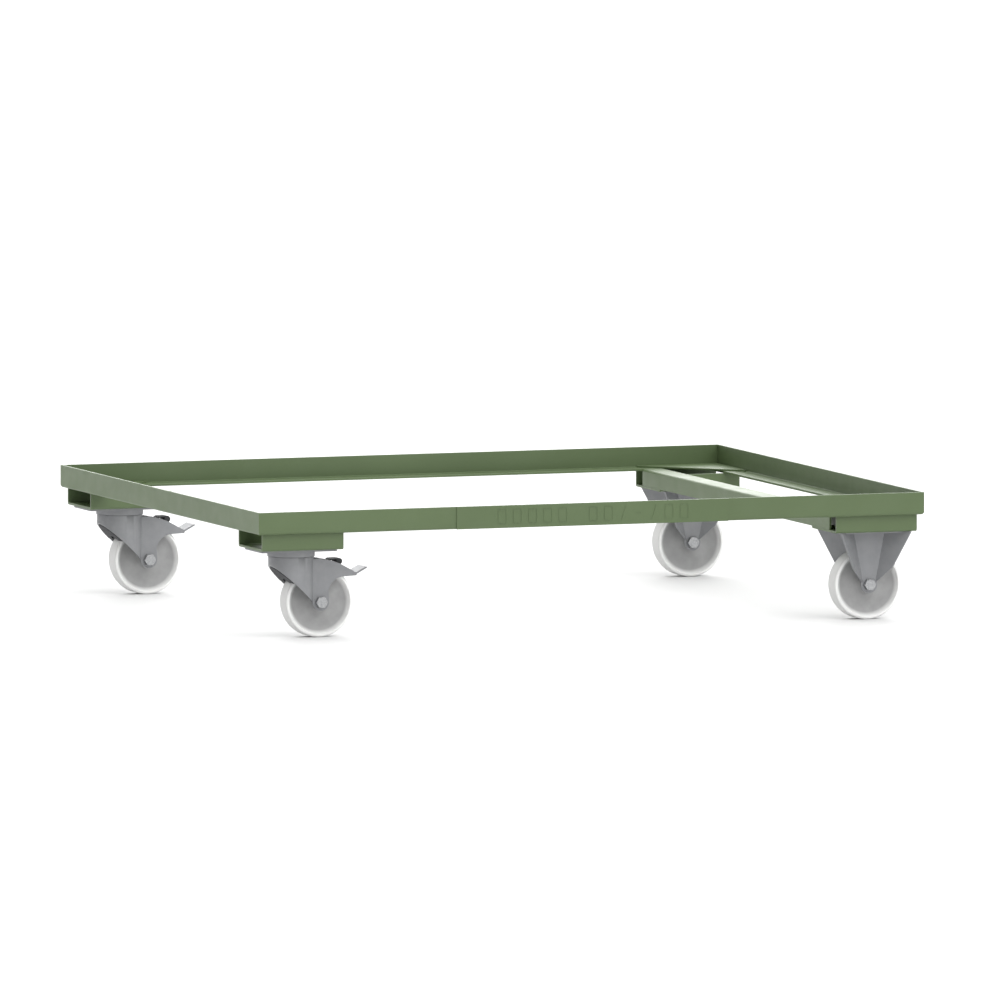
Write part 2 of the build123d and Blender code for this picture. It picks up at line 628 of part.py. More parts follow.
def main():
    os.makedirs("parts", exist_ok=True)
    save(long_rail(-1), "front_rail")
    save(long_rail(1), "back_rail")
    save(end_rail(-1), "left_rail")
    save(end_rail(1), "right_rail")
    save(crossbeam(), "crossbeam")
    save(marking_strip(), "marking_strip")
    for corner, sides in CORNERS.items():
        save(corner_channel(*sides), f"{corner}_channel")
        save(gusset(*sides), f"{corner}_gusset")
        if sides[0] < 0:
            place_swivel(corner, sides)
        else:
            place_fixed(corner, sides)


main()
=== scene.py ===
# %% [markdown]
# # A plant trolley in Blender
# The trolley is a low, open rectangle of folded angle iron on four castors. It has no deck:
# the load, such as trays of plants or a pallet, stands on the flanges inside the frame.
# The CAD model fixes every size and joint. This lesson only gives it its looks: sheet edges
# that catch the light, powder coat, zinc and nylon. Everything is in metres, with +Z up.

# %% Load the fixed frame
import json
import math

import bmesh
import bpy
import numpy as np
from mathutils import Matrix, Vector


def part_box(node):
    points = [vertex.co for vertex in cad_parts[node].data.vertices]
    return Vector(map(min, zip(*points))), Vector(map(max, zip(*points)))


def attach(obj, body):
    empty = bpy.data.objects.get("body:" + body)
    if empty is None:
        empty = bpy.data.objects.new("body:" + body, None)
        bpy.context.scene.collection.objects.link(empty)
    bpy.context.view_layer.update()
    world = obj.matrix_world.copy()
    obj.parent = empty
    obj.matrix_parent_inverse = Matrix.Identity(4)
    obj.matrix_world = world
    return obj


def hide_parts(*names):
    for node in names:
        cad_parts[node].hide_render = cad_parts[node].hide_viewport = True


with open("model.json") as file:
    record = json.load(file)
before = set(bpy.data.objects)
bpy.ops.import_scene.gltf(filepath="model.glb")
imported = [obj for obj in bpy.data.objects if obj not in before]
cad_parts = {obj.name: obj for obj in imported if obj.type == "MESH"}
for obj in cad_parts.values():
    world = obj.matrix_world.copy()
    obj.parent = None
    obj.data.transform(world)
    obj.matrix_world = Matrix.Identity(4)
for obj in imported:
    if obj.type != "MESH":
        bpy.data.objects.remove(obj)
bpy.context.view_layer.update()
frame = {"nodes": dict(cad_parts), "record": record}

CORNERS = ["front_left", "back_left", "front_right", "back_right"]
SWIVELS = CORNERS[:2]
FIXED = CORNERS[2:]

# %% [markdown]
# ## How a finish is built
# Every finish is one Principled shader. Values that are the same all over sit on the shader's
# own sockets. What varies, such as mottled paint or spangled zinc, comes from noise read at
# Object coordinates. A CAD node's object sits at the origin, so those are metres in the trolley,
# and the grain keeps its true size on a long rail and on a small nut alike.

# %% Helpers for finishes
# A Mix node has sockets for numbers, vectors and colours. These are the places of the colours.
MIX_COLOURS_IN = (6, 7)
MIX_COLOUR_OUT = 2


def new_finish(name, roughness, metallic=0.0, **values):
    """A material with one Principled shader that holds the values that never vary."""
    finish = bpy.data.materials.new(name)
    finish.use_nodes = True
    shader = finish.node_tree.nodes["Principled BSDF"]
    shader.inputs["Roughness"].default_value = roughness
    shader.inputs["Metallic"].default_value = metallic
    for socket, value in values.items():
        shader.inputs[socket.replace("_", " ")].default_value = value
    return finish, finish.node_tree, shader


def grain(tree, size, detail=3.0, stretch=(1.0, 1.0, 1.0)):
    """Noise from 0 to 1 with blotches about size metres across.

    Its place is divided by the size, so a stretch below 1 along an axis draws the blotches out.
    """
    where = tree.nodes.new("ShaderNodeTexCoord")
    turn = tree.nodes.new("ShaderNodeMapping")
    turn.inputs["Scale"].default_value = [s / size for s in stretch]
    noise = tree.nodes.new("ShaderNodeTexNoise")
    noise.inputs["Scale"].default_value = 1.0
    noise.inputs["Detail"].default_value = detail
    tree.links.new(where.outputs["Object"], turn.inputs["Vector"])
    tree.links.new(turn.outputs["Vector"], noise.inputs["Vector"])
    return noise.outputs["Fac"]


def between(tree, share, low, high, start=0.3, stop=0.7):
    """The share from start to stop, carried over in a straight line to low to high.

    Noise seldom leaves 0.3 to 0.7, so those are the usual ends.
    """
    scale = tree.nodes.new("ShaderNodeMapRange")
    scale.inputs["From Min"].default_value = start
    scale.inputs["From Max"].default_value = stop
    scale.inputs["To Min"].default_value = low
    scale.inputs["To Max"].default_value = high
    tree.links.new(share, scale.inputs["Value"])
    return scale.outputs["Result"]


def two_tone(tree, share, dark, light):
    """A colour that goes from dark to light with the share. Either end may be another socket."""
    mix = tree.nodes.new("ShaderNodeMix")
    mix.data_type = "RGBA"
    tree.links.new(share, mix.inputs["Factor"])
    for place, colour in zip(MIX_COLOURS_IN, (dark, light)):
        if isinstance(colour, bpy.types.NodeSocket):
            tree.links.new(colour, mix.inputs[place])
        else:
            mix.inputs[place].default_value = (*colour, 1.0)
    return mix.outputs[MIX_COLOUR_OUT]


def mottled(tree, dark, light, size, detail=3.0):
    """A colour that wanders between dark and light in blotches about size metres across."""
    return two_tone(tree, between(tree, grain(tree, size, detail), 0.0, 1.0), dark, light)


def colour_with(tree, shader, colour):
    """Lets a varying colour feed the shader."""
    tree.links.new(colour, shader.inputs["Base Color"])


def uneven_gloss(tree, shader, smooth, rough, size, detail=3.0):
    """Roughness that wanders from smooth to rough in blotches about size metres across."""
    wander = between(tree, grain(tree, size, detail), smooth, rough)
    tree.links.new(wander, shader.inputs["Roughness"])


def relief(tree, shader, share, depth):
    """Bump whose lows and highs lie depth metres apart."""
    bump = tree.nodes.new("ShaderNodeBump")
    bump.inputs["Strength"].default_value = 1.0
    bump.inputs["Distance"].default_value = depth
    tree.links.new(share, bump.inputs["Height"])
    tree.links.new(bump.outputs["Normal"], shader.inputs["Normal"])

# %% [markdown]
# ## Powder coat
# The frame is sprayed with dry powder and baked. The powder melts into a tough satin skin with a
# faint orange peel, a few millimetres from crest to crest. Its colour hardly varies: a little
# where the coat is thicker, and a little where the trolley gathers dust.

# %% Powder coat finish
PAINT_DARK = (0.085, 0.126, 0.052)
PAINT_LIGHT = (0.095, 0.139, 0.059)
PAINT_DUSTY = (0.118, 0.160, 0.085)
FILM_PATCH = 0.16
DUST_PATCH = 0.06
MOST_DUST = 0.2
ORANGE_PEEL = 0.0028
PEEL_DEPTH = 0.000006

green_coat, tree, shader = new_finish("green_powder_coat", 0.45)
film = mottled(tree, PAINT_DARK, PAINT_LIGHT, FILM_PATCH, detail=4.0)
dust = between(tree, grain(tree, DUST_PATCH, detail=4.0), 0.0, MOST_DUST, start=0.5, stop=0.8)
colour_with(tree, shader, two_tone(tree, dust, film, PAINT_DUSTY))
uneven_gloss(tree, shader, smooth=0.42, rough=0.50, size=0.03)
relief(tree, shader, grain(tree, ORANGE_PEEL, detail=1.0), PEEL_DEPTH)
print("finish:", green_coat.name)

# %% [markdown]
# ## Zinc
# Castor parts are pressed from sheet and zinc plated. The coat is thin and grey-white, and it
# keeps the sheet's fine rolling lines and a cloudy spangle. Bolts and nuts are plated smoother
# and look brighter.

# %% Zinc finishes
ZINC_DARK = (0.232, 0.236, 0.245)
ZINC_LIGHT = (0.258, 0.262, 0.271)
SPANGLE = 0.018
ROLLING_LINES = 0.0012
LINES_DRAWN_OUT = (1.0, 1.0, 0.12)
LINES_DEPTH = 0.000008

zinc_sheet, tree, shader = new_finish("zinc_plated_sheet", 0.5, metallic=0.25)
colour_with(tree, shader, mottled(tree, ZINC_DARK, ZINC_LIGHT, SPANGLE, detail=5.0))
uneven_gloss(tree, shader, smooth=0.42, rough=0.58, size=0.006, detail=4.0)
relief(tree, shader, grain(tree, ROLLING_LINES, stretch=LINES_DRAWN_OUT), LINES_DEPTH)

BRIGHT_DARK = (0.32, 0.325, 0.335)
BRIGHT_LIGHT = (0.44, 0.445, 0.45)
BOLT_CLOUD = 0.004
BOLT_GRAIN = 0.0008
BOLT_DEPTH = 0.00001

bright_zinc, tree, shader = new_finish("bright_zinc_bolt", 0.3, metallic=0.95)
colour_with(tree, shader, mottled(tree, BRIGHT_DARK, BRIGHT_LIGHT, BOLT_CLOUD, detail=4.0))
uneven_gloss(tree, shader, smooth=0.22, rough=0.4, size=0.0015)
relief(tree, shader, grain(tree, BOLT_GRAIN, detail=2.0), BOLT_DEPTH)
print("finishes:", zinc_sheet.name, bright_zinc.name)

# %% [markdown]
# ## Steel of the bearing and the springs
# The balls and the spacer tube are ground and lightly oiled, so they are smooth and dark. The
# leaf spring keeps the blue-black skin that hardening leaves.

# %% Steel finishes
BALL_DARK = (0.35, 0.35, 0.36)
BALL_LIGHT = (0.55, 0.55, 0.56)
OIL_FILM = 0.005
SPRING_DARK = (0.06, 0.065, 0.075)
SPRING_LIGHT = (0.13, 0.135, 0.15)
HARDENED_SKIN = 0.006

ground_steel, tree, shader = new_finish("ground_bearing_steel", 0.2, metallic=1.0)
colour_with(tree, shader, mottled(tree, BALL_DARK, BALL_LIGHT, OIL_FILM))
uneven_gloss(tree, shader, smooth=0.14, rough=0.3, size=0.002)

blued_steel, tree, shader = new_finish("blued_spring_steel", 0.35, metallic=0.9)
colour_with(tree, shader, mottled(tree, SPRING_DARK, SPRING_LIGHT, HARDENED_SKIN))
uneven_gloss(tree, shader, smooth=0.28, rough=0.45, size=0.003)
print("finishes:", ground_steel.name, blued_steel.name)

# %% [markdown]
# ## Nylon
# The wheels are solid nylon. The shoulders beside the tread stay white. The running surface is
# painted a little grey and the dished sides greyer still. Both greys are painted shade, the dish's
# for the shade in its hollow. Three materials would meet in hard lines, so one finish does it all:
# each wheel's points carry their distance from the axle, and the colour goes over from one tone to
# the next with that distance.

# %% Nylon finish
NYLON_WHITE = (0.88, 0.88, 0.87)
NYLON_CREAM = (0.84, 0.84, 0.83)
# Painted shade: the tread grey and the two dish greys below are painted shade on white nylon.
TREAD_PAINTED_SHADE = (0.68, 0.68, 0.67)
DISH_SHADE_DARK = (0.30, 0.30, 0.30)
DISH_SHADE_LIGHT = (0.35, 0.35, 0.35)
# Distances from the axle
# The dish's painted shade fades out between the first two distances, and the tread's painted shade
# comes in between the last two.
DISH_SHADE_ENDS = 0.0500
WHITE_STARTS = 0.0568
TREAD_STARTS = 0.0605
TREAD_SHADE_FULL = 0.0622
TURNING_MARKS = 0.0012
MARKS_DEPTH = 0.00001

nylon, tree, shader = new_finish("nylon_wheel", 0.45, Specular_IOR_Level=0.3)
from_axle = tree.nodes.new("ShaderNodeAttribute")
from_axle.attribute_name = "from_axle"
distance = from_axle.outputs["Fac"]
# Painted shade: the dished side is painted grey for the shade in its hollow, and the running
# surface is painted grey for the shade on the tread.
rim_share = between(tree, distance, 0.0, 1.0, DISH_SHADE_ENDS, WHITE_STARTS)
tread_shade_share = between(tree, distance, 0.0, 1.0, TREAD_STARTS, TREAD_SHADE_FULL)
turned = mottled(tree, NYLON_CREAM, NYLON_WHITE, size=0.012, detail=5.0)
dish_shade = mottled(tree, DISH_SHADE_DARK, DISH_SHADE_LIGHT, size=0.015, detail=5.0)
side = two_tone(tree, rim_share, dish_shade, turned)
colour_with(tree, shader, two_tone(tree, tread_shade_share, side, TREAD_PAINTED_SHADE))
uneven_gloss(tree, shader, smooth=0.36, rough=0.52, size=0.003, detail=4.0)
relief(tree, shader, grain(tree, TURNING_MARKS), MARKS_DEPTH)
print("finish:", nylon.name)

# %% [markdown]
# ## Black plastic and rubber
# The lock housing and the foot tab are black moulded plastic with a fine spark-eroded grain. The
# housing sits inside the fork's crown, and its black is also painted shade for the dark there. The
# brake shoe is plain rubber, which is rougher and has a coarser grain.

# %% Black finishes
BLACK_DARK = (0.046, 0.047, 0.049)
BLACK_LIGHT = (0.076, 0.077, 0.080)
SPARK_GRAIN = 0.0006
SPARK_DEPTH = 0.00001
RUBBER_GRAIN = 0.0009
RUBBER_DEPTH = 0.00003

# Black moulded plastic for the foot tab and the lock housing. On the housing the black is also
# painted shade inside the fork's crown.
black_mould_and_shade, tree, shader = new_finish("black_moulding_and_shade", 0.7, Specular_IOR_Level=0.15)
colour_with(tree, shader, mottled(tree, BLACK_DARK, BLACK_LIGHT, size=0.008, detail=4.0))
uneven_gloss(tree, shader, smooth=0.62, rough=0.78, size=0.002)
relief(tree, shader, grain(tree, SPARK_GRAIN, detail=2.0), SPARK_DEPTH)

shoe_rubber, tree, shader = new_finish("brake_shoe_rubber", 0.75)
colour_with(tree, shader, mottled(tree, BLACK_DARK, BLACK_LIGHT, size=0.005, detail=4.0))
uneven_gloss(tree, shader, smooth=0.65, rough=0.85, size=0.002)
relief(tree, shader, grain(tree, RUBBER_GRAIN), RUBBER_DEPTH)
print("finishes:", black_mould_and_shade.name, shoe_rubber.name)

# %% [markdown]
# ## Each CAD part gets its finish
# A part whose shape is right already stays as the CAD made it. Only its material slots change.

# %% Finish the CAD parts
FINISH_OF_SLOT = {
    "green_paint": green_coat,
    "zinc": zinc_sheet,
    "bolt_zinc": bright_zinc,
    "bearing_steel": ground_steel,
    "spring_steel": blued_steel,
    "nylon": nylon,
    "black_plastic": black_mould_and_shade,
    "black_tab": black_mould_and_shade,
    "brake_rubber": shoe_rubber,
}
slot_of_node = {part["node"]: part["material_slot"] for part in frame["record"]["subparts"]}
for node, cad_part in frame["nodes"].items():
    cad_part.data.materials.clear()
    cad_part.data.materials.append(FINISH_OF_SLOT[slot_of_node[node]])
print("finished CAD parts:", len(frame["nodes"]))

# %% [markdown]
# ## Sheet metal as a profile carried along a line
# Rails, channels and the cross beam are folded sheet: one outline, the same all along. So each is
# made as that outline, worked out once, and set down at a few stations. A folded corner has a
# real radius, and a sheared edge is never knife sharp, so every corner of the outline is turned
# on an arc. Those narrow arcs give painted steel its thin bright lines.

# %% Helpers for outlines and surfaces
def unit(vectors):
    """Each vector divided by its own length."""
    return vectors / np.linalg.norm(vectors, axis=-1, keepdims=True)


def rounded_outline(corners, radii, turns=4):
    """Closed outline with every corner turned on an arc.

    With half the corner's angle called h, the arc's centre lies on the corner's bisector,
    radius / sin h away from it, and the arc touches both sides radius / tan h away from it.
    """
    corners = np.asarray(corners, float)
    radii = np.broadcast_to(np.asarray(radii, float), len(corners))[:, None]
    back = unit(np.roll(corners, 1, 0) - corners)
    ahead = unit(np.roll(corners, -1, 0) - corners)
    half = np.arccos(np.clip((back * ahead).sum(1), -1, 1))[:, None] / 2
    centres = corners + unit(back + ahead) * radii / np.sin(half)
    first = corners + back * radii / np.tan(half) - centres
    last = corners + ahead * radii / np.tan(half) - centres
    start = np.arctan2(first[:, 1], first[:, 0])
    swing = (np.arctan2(last[:, 1], last[:, 0]) - start + np.pi) % (2 * np.pi) - np.pi
    angle = start[:, None] + swing[:, None] * np.linspace(0, 1, turns + 1)
    arcs = centres[:, None] + radii[:, None] * np.stack([np.cos(angle), np.sin(angle)], -1)
    return arcs.reshape(-1, 2)


def solid_volume(mesh):
    """Volume inside a closed mesh: the sum of its triangles' corner determinants over six."""
    mesh.calc_loop_triangles()
    places = np.empty(len(mesh.vertices) * 3)
    mesh.vertices.foreach_get("co", places)
    corners = np.empty(len(mesh.loop_triangles) * 3, int)
    mesh.loop_triangles.foreach_get("vertices", corners)
    return np.linalg.det(places.reshape(-1, 3)[corners.reshape(-1, 3)]).sum() / 6


def make_piece(name, places, faces, finish, body, node, sharp=40.0):
    """Puts a surface into a piece that rides on a CAD body and stands for a CAD node.

    The faces are turned outwards, and edges are smooth up to the sharp angle in degrees.
    """
    mesh = bpy.data.meshes.new(name)
    mesh.from_pydata(np.asarray(places).reshape(-1, 3), [], faces)
    if solid_volume(mesh) < 0:
        mesh.flip_normals()
    mesh.shade_smooth()
    mesh.set_sharp_from_angle(angle=math.radians(sharp))
    mesh.materials.append(finish)
    piece = bpy.data.objects.new(name, mesh)
    bpy.context.scene.collection.objects.link(piece)
    even = piece.modifiers.new("even_light", "WEIGHTED_NORMAL")
    even.keep_sharp = True
    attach(piece, body)
    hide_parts(node)
    return piece


def ring_faces(stations, around):
    """Quads that join each outline point to the next one and to the next station.

    One more face closes each end.
    """
    index = np.arange(stations * around).reshape(stations, around)
    here, there = index[:-1], index[1:]
    quads = np.stack([here, np.roll(here, -1, 1), np.roll(there, -1, 1), there], -1)
    return quads.reshape(-1, 4).tolist() + [index[0, ::-1].tolist(), index[-1].tolist()]


def at_station(x, y, z):
    """An outline in space: two of x, y and z are arrays, and the third is the station's place."""
    return np.column_stack(np.broadcast_arrays(x, y, z))

# %% [markdown]
# ## Angle rails
# Four angle irons make the frame, with the upright leg outside and the flange inside. The ends
# are mitred, so the end of the outline lies on a plane at 45 degrees: the further a point is
# from the outer face, the further it stands back from the corner.

# %% Angle rails
SHEET = 0.004
SHEARED_EDGE = 0.0007
OUTER_BEND = 0.005
INNER_BEND = 0.001

rail_low, rail_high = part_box("front_rail")
rail_height = rail_high.z - rail_low.z
flange = rail_high.y - rail_low.y
rail_outline = rounded_outline(
    [(0, 0), (flange, 0), (flange, SHEET),
     (SHEET, SHEET), (SHEET, rail_height), (0, rail_height)],
    [OUTER_BEND, SHEARED_EDGE, SHEARED_EDGE,
     INNER_BEND, SHEARED_EDGE, SHEARED_EDGE],
)


def angle_rail(node, start, end):
    """Rail whose outer bottom edge runs from start to end, with the frame's inside on its left.

    A point u inside the outer face and v above the bottom lies at start + (along + inward) u at
    one end and at end + (inward - along) u at the other.
    """
    start, end = np.array(start, float), np.array(end, float)
    along = unit(end - start)
    inward = np.array([-along[1], along[0]])
    u, v = rail_outline[:, :1], rail_outline[:, 1:]
    ends = [start + (along + inward) * u, end + (inward - along) * u]
    sections = np.stack([np.hstack([flat, v + rail_low.z]) for flat in ends])
    faces = ring_faces(len(sections), len(rail_outline))
    return make_piece(f"{node}_angle", sections, faces, green_coat, "chassis", node)


left, front = rail_low.x, rail_low.y
right, back = rail_high.x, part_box("back_rail")[1].y
for node, start, end in (
    ("front_rail", (left, front), (right, front)),
    ("right_rail", (right, front), (right, back)),
    ("back_rail", (right, back), (left, back)),
    ("left_rail", (left, back), (left, front)),
):
    angle_rail(node, start, end)
print("frame outside:", round(right - left, 4), "x", round(back - front, 4))

# %% [markdown]
# ## Corner channels
# Under each corner a folded channel, open at both ends, carries the castor. On the right the inner
# leg is cut away where the cross beam passes. The outline stays the same there, but no point may
# stand higher than the channel's floor, so the leg closes down to nothing.

# %% Corner channels
def corner_channel(corner):
    """Channel outline, across Y and up Z, set down at stations along X."""
    low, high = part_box(f"{corner}_channel")
    width, height = high.y - low.y, high.z - low.z
    outline = rounded_outline(
        [(0, 0), (width, 0), (width, height), (width - SHEET, height),
         (width - SHEET, SHEET), (SHEET, SHEET), (SHEET, height), (0, height)],
        [OUTER_BEND, OUTER_BEND, SHEARED_EDGE, SHEARED_EDGE,
         INNER_BEND, INNER_BEND, SHEARED_EDGE, SHEARED_EDGE],
    )
    whole = outline + (low.y, low.z)
    stations = [(low.x, whole), (high.x, whole)]
    if corner in FIXED:
        inner = outline[:, 0] > width / 2 if "front" in corner else outline[:, 0] < width / 2
        cut = whole.copy()
        cut[inner, 1] = np.minimum(cut[inner, 1], low.z + SHEET)
        beam_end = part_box("crossbeam")[1].x + SHEARED_EDGE
        stations = [(low.x, cut), (beam_end, cut), (beam_end, whole), (high.x, whole)]
    sections = np.stack([at_station(x=x, y=flat[:, 0], z=flat[:, 1]) for x, flat in stations])
    faces = ring_faces(len(sections), len(outline))
    piece = make_piece(f"{corner}_folded_channel", sections, faces, green_coat,
                       "chassis", f"{corner}_channel")
    return piece


for corner in CORNERS:
    channel = corner_channel(corner)
print("channel:", [round(v, 4) for v in channel.dimensions])

# %% [markdown]
# ## Cross beam
# The beam is a narrower channel with its back up, level with the flanges. It runs across the frame
# and its ends lie in the two right-hand corner channels.

# %% Cross beam
BEAM_SHEET = 0.0035
BEAM_BEND = 0.004

low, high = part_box("crossbeam")
width, height = high.x - low.x, high.z - low.z
outline = rounded_outline(
    [(0, 0), (BEAM_SHEET, 0),
     (BEAM_SHEET, height - BEAM_SHEET), (width - BEAM_SHEET, height - BEAM_SHEET),
     (width - BEAM_SHEET, 0), (width, 0), (width, height), (0, height)],
    [SHEARED_EDGE, SHEARED_EDGE, INNER_BEND, INNER_BEND,
     SHEARED_EDGE, SHEARED_EDGE, BEAM_BEND, BEAM_BEND],
)
flat = outline + (low.x, low.z)
sections = np.stack([at_station(x=flat[:, 0], y=y, z=flat[:, 1]) for y in (low.y, high.y)])
faces = ring_faces(len(sections), len(outline))
beam = make_piece("crossbeam_channel", sections, faces, green_coat, "chassis", "crossbeam")
print("cross beam:", [round(v, 4) for v in beam.dimensions])

# %% [markdown]
# ## Corner gussets
# A triangular plate on top of the flanges ties each corner. Its outline is a triangle with softened
# corners, stacked from the bottom to the top. Near both faces it shrinks a little, which
# rounds the sheared edge.

# %% Corner gussets
GUSSET_CORNER = 0.003
GUSSET_EDGE = 0.0006
EDGE_LEVELS = 4
GUSSET_SHARP = 60.0


def corner_gusset(corner):
    """Triangle outline stacked in Z, drawn in near both faces.

    On a quarter circle of the edge radius r, at the angle a, the outline is r (1 - cos a) from
    the face and r (1 - sin a) in from the edge.
    """
    low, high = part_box(f"{corner}_gusset")
    outer_x, inner_x = (low.x, high.x) if "left" in corner else (high.x, low.x)
    outer_y, inner_y = (low.y, high.y) if "front" in corner else (high.y, low.y)
    triangle = np.array([(outer_x, outer_y), (inner_x, outer_y), (outer_x, inner_y)])
    turn = np.linspace(0, np.pi / 2, EDGE_LEVELS)
    rise = GUSSET_EDGE * (1 - np.cos(turn))
    draw_in = GUSSET_EDGE * (1 - np.sin(turn))
    levels = np.concatenate([low.z + rise, high.z - rise[::-1]])
    insets = np.concatenate([draw_in, draw_in[::-1]])
    middle = triangle.mean(0)
    reach = np.linalg.norm(triangle - middle, axis=1).mean()
    outlines = [
        rounded_outline(middle + (triangle - middle) * (1 - inset / reach), GUSSET_CORNER)
        for inset in insets
    ]
    sections = np.stack([
        at_station(x=flat[:, 0], y=flat[:, 1], z=z) for flat, z in zip(outlines, levels)
    ])
    faces = ring_faces(len(sections), len(outlines[0]))
    piece = make_piece(f"{corner}_gusset_plate", sections, faces, green_coat,
                       "chassis", f"{corner}_gusset", sharp=GUSSET_SHARP)
    return piece


for corner in CORNERS:
    gusset = corner_gusset(corner)
print("gusset:", [round(v, 4) for v in gusset.dimensions])

# %% [markdown]
# ## Nylon wheels
# Each wheel is turned: half of its section is a line of points, given as distance along the axle
# and distance from it, mirrored and spun once round the axle. Spinning multiplies the distance
# from the axle by the cosine and the sine of the angle. Every point keeps that distance as an
# attribute too, and the nylon finish reads it to go from the dished side, painted grey as shade, to
# the white rim.

# %% The wheel's section
WHEEL_TURNS = 128
HUB_PROUD = 0.002
SHOULDER = 0.0045
LIP = 0.0006
RIM_INSIDE = 0.0565
HUB_OUTSIDE = 0.015
# Places on the side between rim and hub, as (along the axle, from the axle)
DISH_MIDDLE = (0.0115, RIM_INSIDE - 0.006)
WEB_START = (0.0082, RIM_INSIDE - 0.018)
WEB_MIDDLE = (0.0090, HUB_OUTSIDE + 0.009)
WEB_END = (0.0125, HUB_OUTSIDE + 0.0025)
HUB_MIDDLE = (0.017, HUB_OUTSIDE + 0.0006)


def bow(start, through, end, count):
    """Points on a parabola from start to end that passes through the middle point half-way."""
    t = np.linspace(0, 1, count)[:, None]
    start, through, end = (np.array(p, float) for p in (start, through, end))
    return start * (1 - t) * (1 - 2 * t) + through * 4 * t * (1 - t) + end * t * (2 * t - 1)


def wheel_half_section(radius, half, hub_half, bore):
    """Half section from the middle of the tread to the bore, as (along, from the axle)."""
    turn = np.linspace(0, np.pi / 2, 9)[:, None]
    centre = np.array([(half - SHOULDER, radius - SHOULDER)])
    shoulder = centre + SHOULDER * np.hstack([np.sin(turn), np.cos(turn)])
    dish = bow((half - LIP, RIM_INSIDE), DISH_MIDDLE, WEB_START, count=10)
    web = bow(WEB_START, WEB_MIDDLE, WEB_END, count=8)
    hub = bow(WEB_END, HUB_MIDDLE, (hub_half - LIP, HUB_OUTSIDE), count=6)
    rim_lip = [(half, RIM_INSIDE + LIP)]
    hub_face = [(hub_half, HUB_OUTSIDE - LIP), (hub_half, bore + LIP), (hub_half - LIP, bore)]
    return np.vstack([[(0, radius)], shoulder, rim_lip, dish, web[1:], hub[1:], hub_face])

# %% Turn the wheels
BORE_GAP = 0.00005


def turned_wheel(corner):
    """The closed section, spun round the axle.

    A point's x and z are its distance from the axle times the sine and the cosine of the angle.
    """
    low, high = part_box(f"{corner}_wheel")
    tube_low, tube_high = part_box(f"{corner}_axle_tube")
    centre = (low + high) / 2
    bore = (tube_high.z - tube_low.z) / 2 + BORE_GAP
    radius, hub_half = (high.z - low.z) / 2, (high.y - low.y) / 2
    side = wheel_half_section(radius, hub_half - HUB_PROUD, hub_half, bore)
    section = np.vstack([side, (side * (-1, 1))[:0:-1]])
    angle = np.linspace(0, 2 * np.pi, WHEEL_TURNS, endpoint=False)[:, None]
    along, out = section.T
    places = np.stack(np.broadcast_arrays(
        centre.x + out * np.sin(angle), centre.y + along, centre.z + out * np.cos(angle),
    ), -1)
    here = np.arange(WHEEL_TURNS * len(section)).reshape(WHEEL_TURNS, len(section))
    there = np.roll(here, -1, 0)
    quads = np.stack([here, np.roll(here, -1, 1), np.roll(there, -1, 1), there], -1)
    piece = make_piece(f"{corner}_nylon_wheel", places, quads.reshape(-1, 4).tolist(), nylon,
                       f"{corner}_wheel", f"{corner}_wheel")
    from_axle = piece.data.attributes.new("from_axle", "FLOAT", "POINT")
    from_axle.data.foreach_set("value", np.tile(out, WHEEL_TURNS).astype(np.float32))
    return piece


for corner in CORNERS:
    wheel = turned_wheel(corner)
print("wheel:", [round(v, 4) for v in wheel.dimensions], "faces:", len(wheel.data.polygons))

# %% [markdown]
# ## Forks with softened edges
# The forks are pressed from sheet. The press leaves every fold and every cut edge a little
# round, which is what catches the light on such a part. Each fork is a copy of its CAD part:
# the loose triangles are merged and flat neighbours joined, and then every sharp edge is
# bevelled.

# %% Pressed forks
PRESSED_EDGE = 0.0006
SAME_PLACE = 1e-6
# Angles between neighbouring faces, in degrees: below the first they are joined, above the
# second the edge between them is bevelled
STILL_FLAT = 0.3
SHARP_FROM = 30


def pressed_part(node, body):
    """Merged copy of a CAD part with a bevel on every sharp edge."""
    mesh = frame["nodes"][node].data.copy()
    work = bmesh.new()
    work.from_mesh(mesh)
    bmesh.ops.remove_doubles(work, verts=work.verts, dist=SAME_PLACE)
    bmesh.ops.dissolve_limit(
        work, angle_limit=math.radians(STILL_FLAT), verts=work.verts, edges=work.edges,
    )
    work.to_mesh(mesh)
    work.free()
    mesh.shade_smooth()
    mesh.set_sharp_from_angle(angle=math.radians(SHARP_FROM))
    piece = bpy.data.objects.new(f"{node}_pressed", mesh)
    bpy.context.scene.collection.objects.link(piece)
    bevel = piece.modifiers.new("pressed_edges", "BEVEL")
    bevel.width = PRESSED_EDGE
    bevel.segments = 2
    bevel.limit_method = "ANGLE"
    bevel.angle_limit = math.radians(SHARP_FROM)
    bevel.harden_normals = True
    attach(piece, body)
    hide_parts(node)
    return piece


for corner in SWIVELS:
    fork = pressed_part(f"{corner}_fork", f"{corner}_swivel")
print("fork faces:", len(fork.data.polygons))

# %% [markdown]
# ## Floor and room
# The floor is plain and pale. Around it stands a soft white room, which painted sides mirror at
# a low angle. A room that is equally bright all round would make every side look the same, so
# this one is darker far to the left, a little brighter at the back, and brightest overhead.

# %% Floor
FLOOR_HALF = 60.0
FLOOR_DARK = (0.71, 0.71, 0.71)
FLOOR_LIGHT = (0.72, 0.72, 0.72)

floor_mesh = bpy.data.meshes.new("floor")
square = np.array([(-1, -1, 0), (1, -1, 0), (1, 1, 0), (-1, 1, 0)]) * FLOOR_HALF
floor_mesh.from_pydata(square.tolist(), [], [(0, 1, 2, 3)])
floor = bpy.data.objects.new("floor", floor_mesh)
bpy.context.scene.collection.objects.link(floor)

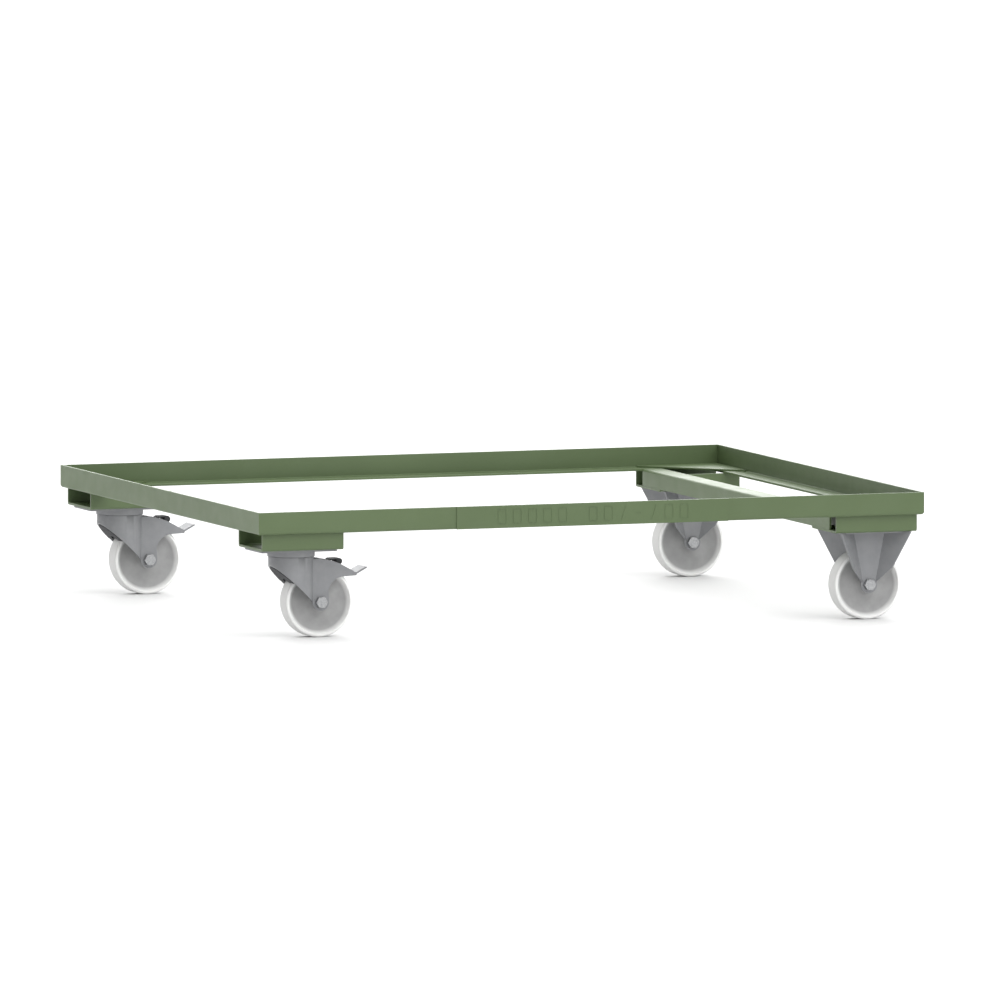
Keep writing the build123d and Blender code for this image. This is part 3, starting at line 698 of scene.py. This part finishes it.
pale_floor, tree, shader = new_finish("pale_floor", 0.9, Specular_IOR_Level=0.1)
floor_cloud = grain(tree, size=0.8, detail=2.0)
colour_with(tree, shader, two_tone(tree, floor_cloud, FLOOR_DARK, FLOOR_LIGHT))
floor_mesh.materials.append(pale_floor)
print("floor:", 2 * FLOOR_HALF, "metres square")

# %% Room
# Each is low level, high level, and the part of the direction where one goes over to the other
ROOM_BEHIND = (0.95, 1.0, -0.3, 0.8)
ROOM_ASIDE = (0.1, 1.0, -0.9, 0.1)
ROOM_OVERHEAD = (0.0, 0.7, 0.2, 0.8)


def worked_out(tree, operation, first, second):
    """One number made from two others."""
    node = tree.nodes.new("ShaderNodeMath")
    node.operation = operation
    tree.links.new(first, node.inputs[0])
    tree.links.new(second, node.inputs[1])
    return node.outputs["Value"]


room = bpy.data.worlds.new("soft_room")
bpy.context.scene.world = room
room.use_nodes = True
tree = room.node_tree
glow = tree.nodes["Background"]
glow.inputs["Color"].default_value = (1.0, 1.0, 1.0, 1.0)
direction = tree.nodes.new("ShaderNodeTexCoord")
axes = tree.nodes.new("ShaderNodeSeparateXYZ")
tree.links.new(direction.outputs["Generated"], axes.inputs["Vector"])
behind = between(tree, axes.outputs["Y"], *ROOM_BEHIND)
aside = between(tree, axes.outputs["X"], *ROOM_ASIDE)
overhead = between(tree, axes.outputs["Z"], *ROOM_OVERHEAD)
walls = worked_out(tree, "MULTIPLY", behind, aside)
tree.links.new(worked_out(tree, "ADD", walls, overhead), glow.inputs["Strength"])
print("room:", room.name)

# %% [markdown]
# ## Lamps
# Three lamps stand far away and are very broad, so their shadows are soft. The key lamp is in
# front and above. The two rim lamps are behind, one to the right and one to the left. They light
# what faces up, such as the flanges, and the left one also lights what faces left.

# %% Lamps
def soft_lamp(name, energy, angle, shines_from):
    """A far lamp as broad as the angle in degrees, which shines from a direction."""
    data = bpy.data.lights.new(name, "SUN")
    data.energy = energy
    data.angle = math.radians(angle)
    lamp = bpy.data.objects.new(name, data)
    bpy.context.scene.collection.objects.link(lamp)
    lamp.rotation_euler = (-Vector(shines_from)).to_track_quat("-Z", "Y").to_euler()
    print("lamp:", name, "strength", energy)


soft_lamp("key", energy=1.2, angle=70, shines_from=(0.15, -0.6, 1.0))
soft_lamp("rim", energy=1.3, angle=40, shines_from=(0.34, 0.94, 0.50))
soft_lamp("side_rim", energy=0.5, angle=40, shines_from=(-0.45, 0.85, 0.35))

# %% [markdown]
# ## Camera
# A very long lens from far away, a little above the frame and to its left, so parallel edges stay
# almost parallel.

# %% Camera
AZIMUTH = math.radians(-19.977)
ELEVATION = math.radians(4.9885)
DISTANCE = 81.379
TARGET = Vector((0.0170, 0.0, 0.1890))
# The lens and the sensor are in millimetres
LENS = 1650.0
SENSOR = 36.0
FAR_LIMIT = 400.0

camera_data = bpy.data.cameras.new("camera")
camera_data.lens = LENS
camera_data.sensor_width = SENSOR
camera_data.clip_end = FAR_LIMIT
camera = bpy.data.objects.new("camera", camera_data)
bpy.context.scene.collection.objects.link(camera)
towards = Vector((
    math.sin(AZIMUTH) * math.cos(ELEVATION),
    -math.cos(AZIMUTH) * math.cos(ELEVATION),
    math.sin(ELEVATION),
))
camera.location = TARGET + towards * DISTANCE
camera.rotation_euler = (-towards).to_track_quat("-Z", "Y").to_euler()
bpy.context.scene.camera = camera
bpy.context.scene.view_settings.view_transform = "Standard"
print("camera at", [round(v, 3) for v in camera.location])
